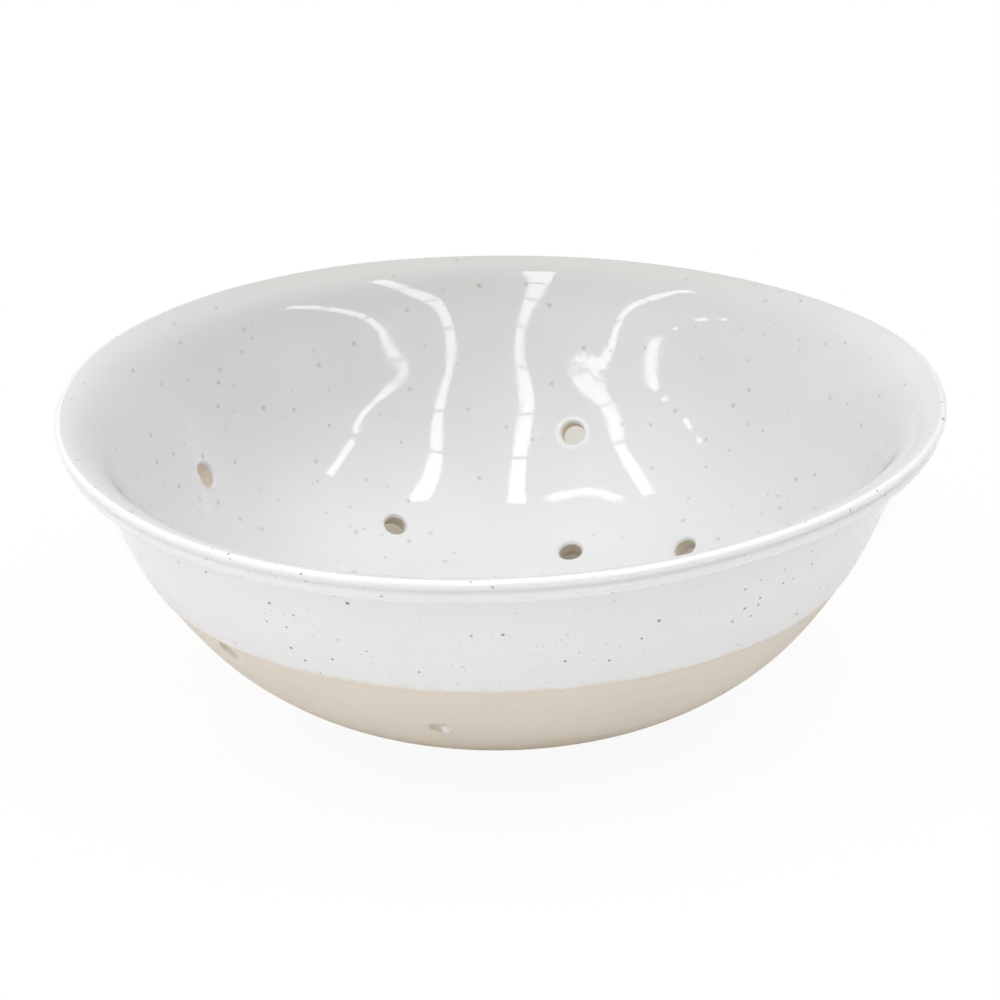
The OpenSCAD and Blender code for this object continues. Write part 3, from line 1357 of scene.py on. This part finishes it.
@dataclass
class OutsideGlaze(BowlPiece):
    """The coat over the outside of the rim and the wall, down to the glaze line.

    Attributes:
        feather: Length over which the coat thins out to its lower edge.
        feather_steps: Number of steps in that stretch.
    """

    feather: float = 1.2 * MM
    feather_steps: int = 5

    def build(self) -> None:
        """Makes the coat."""
        section = self.section
        line = section.rim_line() + section.glazed_wall_line()[1:]
        outer = [place.lifted(section.glaze) for place in line[:-1]]
        end = line[-1]
        along = Vector((end.out.y, -end.out.x))
        edge = []
        for i in range(1, self.feather_steps):
            turn = math.radians(90 * i / self.feather_steps)
            back = (1 - math.sin(turn)) * self.feather * along
            edge.append(end.at - back + section.glaze * math.cos(turn) * end.out)
        hidden = [place.at for place in line[:0:-2] + line[:1]]
        ring = spun(outer + edge + hidden, self.steps, closed=True)
        lowest = section.glaze_line - section.foot_height - self.pattern.radius - self.pattern.edge_round
        reached = [hole for hole in self.pattern.holes() if hole.seat is Seat.WALL and hole.reach > lowest]
        bm = cut_by(piece_from(ring, "coat_blank"), Punch(section, self.pattern).build(reached))
        finish = replace(OUTSIDE_FINISH, edge_height=section.glaze_line)
        self.dress(bm, "outside_glaze_coat", "outside_glaze", finish.material(), node="outside_glaze")


@dataclass
class GlazeDrop(BowlPiece):
    """A drop of the inside glaze that ran through a drain hole and set in its outside mouth.

    Attributes:
        middle: Middle of the drop: round the bowl, along the section and into the clay.
        radii: Half its size in the same directions.
        lumps: Height of the lumps in its surface, as a share of its size.
        lump_count: About how many lumps lie along half its size.
        fineness: How often the faces of the ball that it is shaped from are divided.
    """

    middle: tuple[float, float, float] = (1.7 * MM, 0.2 * MM, 0.4 * MM)
    radii: tuple[float, float, float] = (1.6 * MM, 2.5 * MM, 1.4 * MM)
    lumps: float = 0.12
    lump_count: float = 2.2
    fineness: int = 4

    def build(self) -> None:
        """Makes the drop."""
        mouth = self.pattern.holes()[self.pattern.drip].frame_at(self.section, 0.0)
        bm = bmesh.new()
        bmesh.ops.create_icosphere(bm, subdivisions=self.fineness, radius=1.0)
        for vert in bm.verts:
            spread = 1 + self.lumps * noise.noise(self.lump_count * vert.co)
            vert.co = mouth @ (Vector(self.middle) + spread * vert.co * Vector(self.radii))
        bmesh.ops.recalc_face_normals(bm, faces=bm.faces[:])
        self.dress(bm, "glaze_drop", "inside_glaze", bpy.data.materials[INSIDE_FINISH.name])


@dataclass(frozen=True)
class Glow:
    """A soft light in the surroundings, brightest in one direction.

    Attributes:
        towards: Direction of the brightest place.
        focus: Power of the cosine that it fades with.
        strength: Brightness there.
    """

    towards: tuple[float, float, float]
    focus: float
    strength: float


@dataclass(frozen=True)
class StripLamp:
    """A row of lamps on the ceiling, as a strip with dark joints.

    Attributes:
        near: Place across the room, and depth into it, of the end over the bowl.
        far: The same for the other end.
        width: Width of the strip.
        lit: Depths into the room between which lamps burn, or none for the whole strip.
    """

    near: tuple[float, float]
    far: tuple[float, float]
    width: float = 0.08
    lit: tuple[tuple[float, float], ...] = ()


@dataclass(frozen=True)
class GridLamp:
    """A small lamp close over the bowl, with a grid that keeps its beam narrow.

    Attributes:
        start: Middle of one end.
        end: Middle of the other end.
        aim: Place that it shines on.
        width: Width of the lamp.
        beam: Angle of its beam, in degrees.
    """

    start: tuple[float, float, float]
    end: tuple[float, float, float]
    aim: tuple[float, float, float]
    width: float = 0.021
    beam: float = 16.0


@dataclass
class Studio:
    """The table, the lamps and the camera.

    Attributes:
        distance: From the camera to the point that it looks at.
        target_height: Height of that point on the bowl's axis.
        elevation: Of the camera over the table, in degrees.
        roll: Turn of the camera about its line of sight, in degrees.
        focal: Focal length of the lens, in millimetres.
        sensor: Width of the sensor, in millimetres.
        axis_shift: How far the bowl's axis stands right of the picture's middle, as a share of its width.
        lamp_height: Height of the ceiling lamps.
        lamp_radiance: Brightness of their face.
        lamps: The strips.
        joints: Depth into the room of the dark joints between lamps.
        joint_width: Width of a joint.
        grid_lamps: Lamps with a narrow beam.
        glows: Soft lights of the surroundings.
        table_reach: How far the table reaches on every side.
        table_colour: Colour of the table.
        table_white: Share of plain white in what the camera sees of the table, by the bowl.
        shade_reach: Distances from the bowl's axis over which the table turns plain white.
        painted_shadows: Two rounds of painted warm shadow on the table, under the bowl and behind it, which
            this camera
        sees through the drain holes alone: the middle of each, and the distances from there over which it
            fades.
        pool_fade: Distances from the bowl's axis over which their far end fades.
        painted_shadow_near: Colour of the painted shadow on the table, close to the bowl.
        painted_shadow_far: Colour of the painted shadow on the table, away from the bowl.
        pool_reach: Distances from the bowl's axis between which the one becomes the other.
    """

    distance: float = 0.8
    target_height: float = 56.6 * MM
    elevation: float = 23.48
    roll: float = 1.285
    focal: float = 100.19
    sensor: float = 36.0
    axis_shift: float = 0.0022
    lamp_height: float = 1.0
    lamp_radiance: float = 6.4
    lamps: tuple[StripLamp, ...] = (
        StripLamp((1.018, -0.17), (1.186, -2.0), 0.09),
        StripLamp((0.359, -0.10), (0.606, -2.0)),
        StripLamp((-0.055, -0.065), (-0.319, -2.0)),
        StripLamp((-0.671, 0.01), (-0.945, -2.0), 0.07),
        StripLamp(
            (-1.475, -0.05), (-1.442, -2.0), 0.10,
            ((-0.19, -0.25), (-0.36, -0.46), (-0.76, -0.84), (-1.04, -2.0)),
        ),
    )
    joints: tuple[float, ...] = (-0.51, -0.98, -1.5)
    joint_width: float = 0.03
    grid_lamps: tuple[GridLamp, ...] = (
        GridLamp((-0.056, 0.017, 0.35), (-0.081, 0.001, 0.35), (0.021, 0.088, 0.025)),
        GridLamp((-0.081, 0.001, 0.35), (-0.119, 0.004, 0.35), (0.030, 0.085, 0.027)),
        GridLamp((-0.119, 0.004, 0.35), (-0.147, 0.046, 0.35), (0.040, 0.081, 0.027)),
    )
    glows: tuple[Glow, ...] = (
        Glow((-1, 0, 0), 1, 0.27),
        Glow((0, 1, 0), 1, 0.25),
        Glow((0, 0, 1), 2, 0.61),
        Glow((-0.6, 0, 0.8), 8, 0.67),
        Glow((0.52, 0.08, 0.85), 8, 1.27),
        Glow((-0.6, -0.7, 0.39), 4, 0.37),
        Glow((-0.7, 0.7, 0.14), 4, 0.59),
        Glow((0.7, 0.7, 0.14), 4, 0.44),
    )
    table_reach: float = 4.0
    table_colour: Colour = (0.9, 0.9, 0.9)
    table_white: float = 0.93
    shade_reach: tuple[float, float] = (0.12, 0.45)
    # Painted shadow: darker, warmer table colour in two rounds under and behind the bowl
    painted_shadows: tuple[tuple[tuple[float, float, float], tuple[float, float]], ...] = (
        ((0, 0.045, 0), (0.045, 0.085)), ((0, 0.17, 0), (0.11, 0.15)),
    )
    pool_fade: tuple[float, float] = (0.20, 0.34)
    painted_shadow_near: Colour = (0.56, 0.515, 0.437)
    painted_shadow_far: Colour = (0.67, 0.655, 0.59)
    pool_reach: tuple[float, float] = (0.10, 0.18)

    def build(self) -> None:
        """Sets up the camera, the lamps, the surroundings and the table."""
        self.set_camera()
        for number, lamp in enumerate(self.lamps, start=1):
            self.hang_strip(f"strip_{number}", lamp)
        for number, lamp in enumerate(self.grid_lamps, start=1):
            start, end, aim = Vector(lamp.start), Vector(lamp.end), Vector(lamp.aim)
            self.hang_lamp(f"grid_{number}", start, end, lamp.width, (start + end) / 2 - aim, lamp.beam)
        self.set_surroundings()
        self.lay_table()
        bpy.context.scene.view_settings.view_transform = "Standard"

    def set_camera(self) -> None:
        """Places the camera in front of the bowl."""
        lift, roll = math.radians(self.elevation), math.radians(self.roll)
        back = Vector((0, -math.cos(lift), math.sin(lift)))
        right, up = Vector((1, 0, 0)), Vector((0, math.sin(lift), math.cos(lift)))
        rolled_right = math.cos(roll) * right - math.sin(roll) * up
        rolled_up = math.sin(roll) * right + math.cos(roll) * up
        data = bpy.data.cameras.new("camera")
        data.lens, data.sensor_width = self.focal, self.sensor
        data.shift_x = -self.axis_shift
        camera = bpy.data.objects.new("camera", data)
        turn = Matrix((rolled_right, rolled_up, back)).transposed().to_4x4()
        target = Vector((0, 0, self.target_height))
        camera.matrix_world = Matrix.Translation(target + self.distance * back) @ turn
        bpy.context.scene.collection.objects.link(camera)
        bpy.context.scene.camera = camera

    def hang_strip(self, name: str, lamp: StripLamp) -> None:
        """Hangs the lamps of a strip, between its joints.

        Args:
            name: Name of the strip.
            lamp: The strip.
        """
        near, far = Vector((*lamp.near, self.lamp_height)), Vector((*lamp.far, self.lamp_height))
        half = self.joint_width / 2
        dark = [joint + side for joint in self.joints if far.y < joint < near.y for side in (half, -half)]
        ends = [lamp.near[1], *dark, lamp.far[1]]
        if lamp.lit:
            ends = [depth for span in lamp.lit for depth in span]
        for number, (start, end) in enumerate(zip(ends[::2], ends[1::2]), start=1):
            shares = [(depth - near.y) / (far.y - near.y) for depth in (start, end)]
            self.hang_lamp(f"{name}_{number}", *[near.lerp(far, share) for share in shares], lamp.width)

    def hang_lamp(
        self, name: str, start: Vector, end: Vector, width: float, back: Vector = UP, beam: float = 180.0
    ) -> None:
        """Hangs one lamp.

        Args:
            name: Name of the lamp.
            start: Middle of one end.
            end: Middle of the other end.
            width: Width of the lamp.
            back: Direction that its back faces.
            beam: Angle of its beam, in degrees.
        """
        data = bpy.data.lights.new(name, "AREA")
        data.shape = "RECTANGLE"
        length = (end - start).length
        half = math.radians(beam) / 2
        data.size, data.size_y, data.spread = width, length, 2 * half
        data.energy = self.lamp_radiance * math.pi * width * length * (1 - half / math.tan(half))
        lamp = bpy.data.objects.new(name, data)
        back = back.normalized()
        across = (end - start).cross(back).normalized()
        turn = Matrix((across, back.cross(across), back)).transposed().to_4x4()
        lamp.matrix_world = Matrix.Translation((start + end) / 2) @ turn
        bpy.context.scene.collection.objects.link(lamp)

    def set_surroundings(self) -> None:
        """Gives the world its soft lights, behind which the camera sees plain white."""
        world = bpy.data.worlds.new("studio")
        recipe = Recipe(world)
        direction = recipe.add("TexCoord").outputs["Generated"]
        total: Socket | float = 0.0
        for glow in self.glows:
            axis = Vector(glow.towards).normalized()
            facing = recipe.add("VectorMath", {0: direction, 1: axis}, operation="DOT_PRODUCT")
            lobe = recipe.math("POWER", recipe.math("MAXIMUM", facing.outputs["Value"], 0.0), glow.focus)
            total = recipe.math("ADD", recipe.math("MULTIPLY", lobe, glow.strength), total)
        seen = recipe.add("LightPath").outputs["Is Camera Ray"]
        strength = recipe.ranged(seen, NONE_TO_ALL, (total, 1.0))
        background = recipe.add("Background", {"Color": (1, 1, 1, 1), "Strength": strength})
        recipe.finish(background, "OutputWorld")
        bpy.context.scene.world = world

    def lay_table(self) -> None:
        """Lays a wide pale table under the bowl, with painted warm shadow under and behind it."""
        bm = bmesh.new()
        bmesh.ops.create_grid(bm, x_segments=1, y_segments=1, size=self.table_reach)
        table = piece_from(bm, "table")
        material = bpy.data.materials.new("table_white")
        recipe = Recipe(material)
        place = recipe.object_coordinates()
        out = recipe.add("VectorMath", {0: place}, operation="LENGTH").outputs["Value"]
        clear: Socket | float = 1.0
        # Painted shadow: the table's colour is darker and warmer in two rounds by the bowl
        for middle, radii in self.painted_shadows:
            away = recipe.add("VectorMath", {0: place, 1: middle}, operation="DISTANCE").outputs["Value"]
            clear = recipe.math("MINIMUM", recipe.ranged(away, radii, NONE_TO_ALL), clear)
        clear = recipe.math("MAXIMUM", recipe.ranged(out, self.pool_fade, NONE_TO_ALL), clear)
        painted_shadow = recipe.mixed(recipe.ranged(out, self.pool_reach, NONE_TO_ALL), self.painted_shadow_near, self.painted_shadow_far)
        diffuse = recipe.add("BsdfDiffuse", {"Color": recipe.mixed(clear, painted_shadow, self.table_colour)})
        white = recipe.add("Emission", {"Color": (1, 1, 1, 1), "Strength": 1.0})
        plain = recipe.ranged(out, self.shade_reach, (self.table_white, 1.0))
        seen = recipe.math("MULTIPLY", recipe.add("LightPath").outputs["Is Camera Ray"], plain)
        share = recipe.math("MULTIPLY", seen, clear)
        recipe.finish(recipe.add("MixShader", {0: share, 1: diffuse.outputs[0], 2: white.outputs[0]}))
        table.data.materials.append(material)


def main() -> None:
    """Builds the bowl and the studio."""
    logging.basicConfig(level=logging.INFO, format="%(name)s: %(message)s")
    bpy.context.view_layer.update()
    _, rim_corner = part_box("outside_glaze")
    section = BowlSection(rim_radius=rim_corner.x, height=rim_corner.z)
    shared = section, HolePattern(), KilnWarp()
    for piece in (StonewareShell(*shared), InsideGlaze(*shared), OutsideGlaze(*shared), GlazeDrop(*shared)):
        piece.build()
    Studio().build()


if __name__ == "__main__":
    main()
